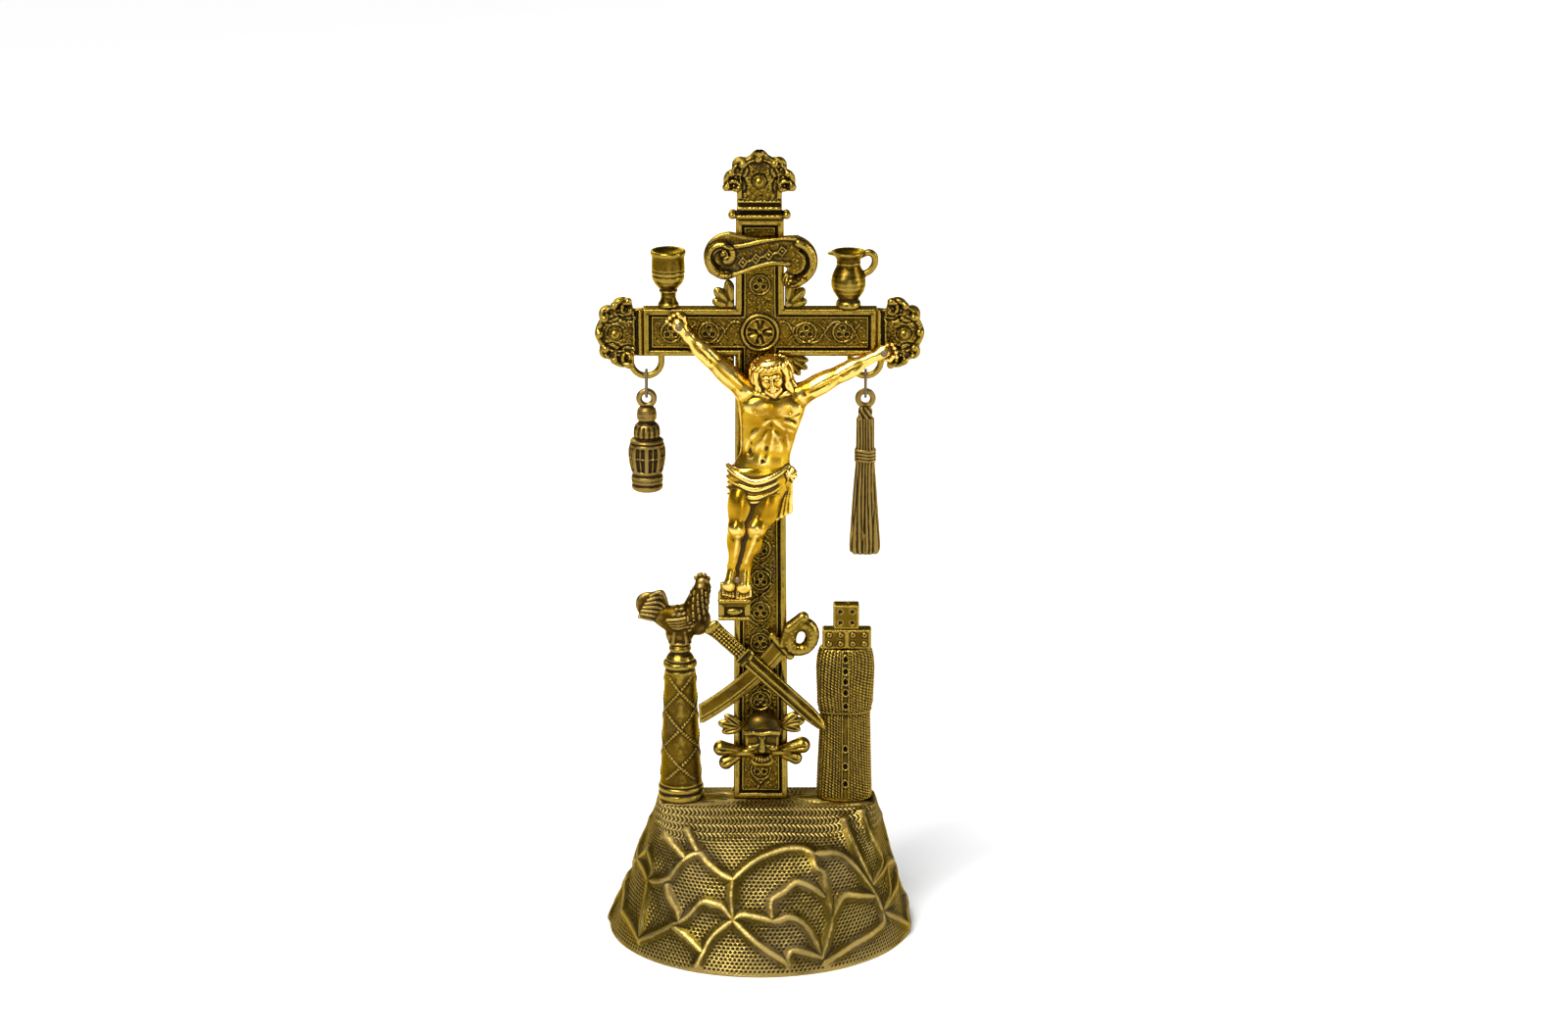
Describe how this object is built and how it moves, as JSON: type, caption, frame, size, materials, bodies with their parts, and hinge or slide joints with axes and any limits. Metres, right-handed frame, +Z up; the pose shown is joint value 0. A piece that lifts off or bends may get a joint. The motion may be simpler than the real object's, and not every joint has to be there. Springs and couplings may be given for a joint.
{
  "type": "altar cross",
  "caption": "Standing brass altar cross with a gilt figure on a rock mound, flanked by a column with a rooster and a robe with dice, with a lantern and a scourge swinging under its arms.",
  "frame": {"origin": "middle of the mound's foot, on the surface it stands on", "axes": "+Z up, -Y is the front with the figure, +X is the viewer's right, where the robe stands"},
  "size_m": [0.1324, 0.12, 0.3319],
  "materials": {
    "mound_brass": "cast rock relief with punched grounds, dusty worn brass",
    "cross_brass": "cast and chased brass, polished on the high points and dark brown in the recesses",
    "gilt_brass": "bright gilt, worn on the knees, chest and hands",
    "dark_brass": "unpolished dark brown brass",
    "iron_wire": "dark oxidised iron wire and fasteners"
  },
  "bodies": {
    "stand": {"base_mound": "mound_brass", "cross_body": "cross_brass", "titulus_scroll": "cross_brass", "foot_block": "cross_brass", "sabre": "cross_brass", "sword": "cross_brass", "skull": "cross_brass", "crossbone": "cross_brass", "skull_leaf_left": "cross_brass", "skull_leaf_right": "cross_brass", "leaf_upper_left": "cross_brass", "leaf_upper_right": "cross_brass", "leaf_lower_left": "cross_brass", "leaf_lower_right": "cross_brass", "terminal_left": "cross_brass", "terminal_right": "cross_brass", "terminal_top": "cross_brass", "rivet_left": "cross_brass", "rivet_right": "cross_brass", "rivet_top": "cross_brass", "goblet": "cross_brass", "jug": "cross_brass", "loop_left": "cross_brass", "loop_right": "cross_brass", "column": "cross_brass", "robe": "cross_brass", "die_left": "cross_brass", "die_right": "cross_brass", "die_top": "cross_brass", "corpus": "gilt_brass", "rooster": "dark_brass", "nail_left_hand": "iron_wire", "nail_right_hand": "iron_wire", "nail_feet": "iron_wire", "cross_nut": "iron_wire", "cross_washer": "iron_wire", "column_nut": "iron_wire", "robe_nut": "iron_wire"},
    "lantern_link": {"link_left": "iron_wire"},
    "lantern": {"lantern": "dark_brass"},
    "scourge_link": {"link_right": "iron_wire"},
    "scourge": {"scourge": "dark_brass"}
  },
  "joints": [
    {"name": "lantern_link_swing", "type": "hinge", "parent": "stand", "child": "lantern_link", "pos_m": [-0.0459, 0.0016, 0.23735], "axis": [1, 0, 0], "range_deg": [-45, 45]},
    {"name": "lantern_swing", "type": "hinge", "parent": "lantern_link", "child": "lantern", "pos_m": [-0.0459, 0.0016, 0.2286], "axis": [0, 1, 0], "range_deg": [-35, 40]},
    {"name": "scourge_link_swing", "type": "hinge", "parent": "stand", "child": "scourge_link", "pos_m": [0.0428, 0.0016, 0.23735], "axis": [1, 0, 0], "range_deg": [-45, 45]},
    {"name": "scourge_swing", "type": "hinge", "parent": "scourge_link", "child": "scourge", "pos_m": [0.0428, 0.0016, 0.2286], "axis": [0, 1, 0], "range_deg": [-40, 18]}
  ]
}
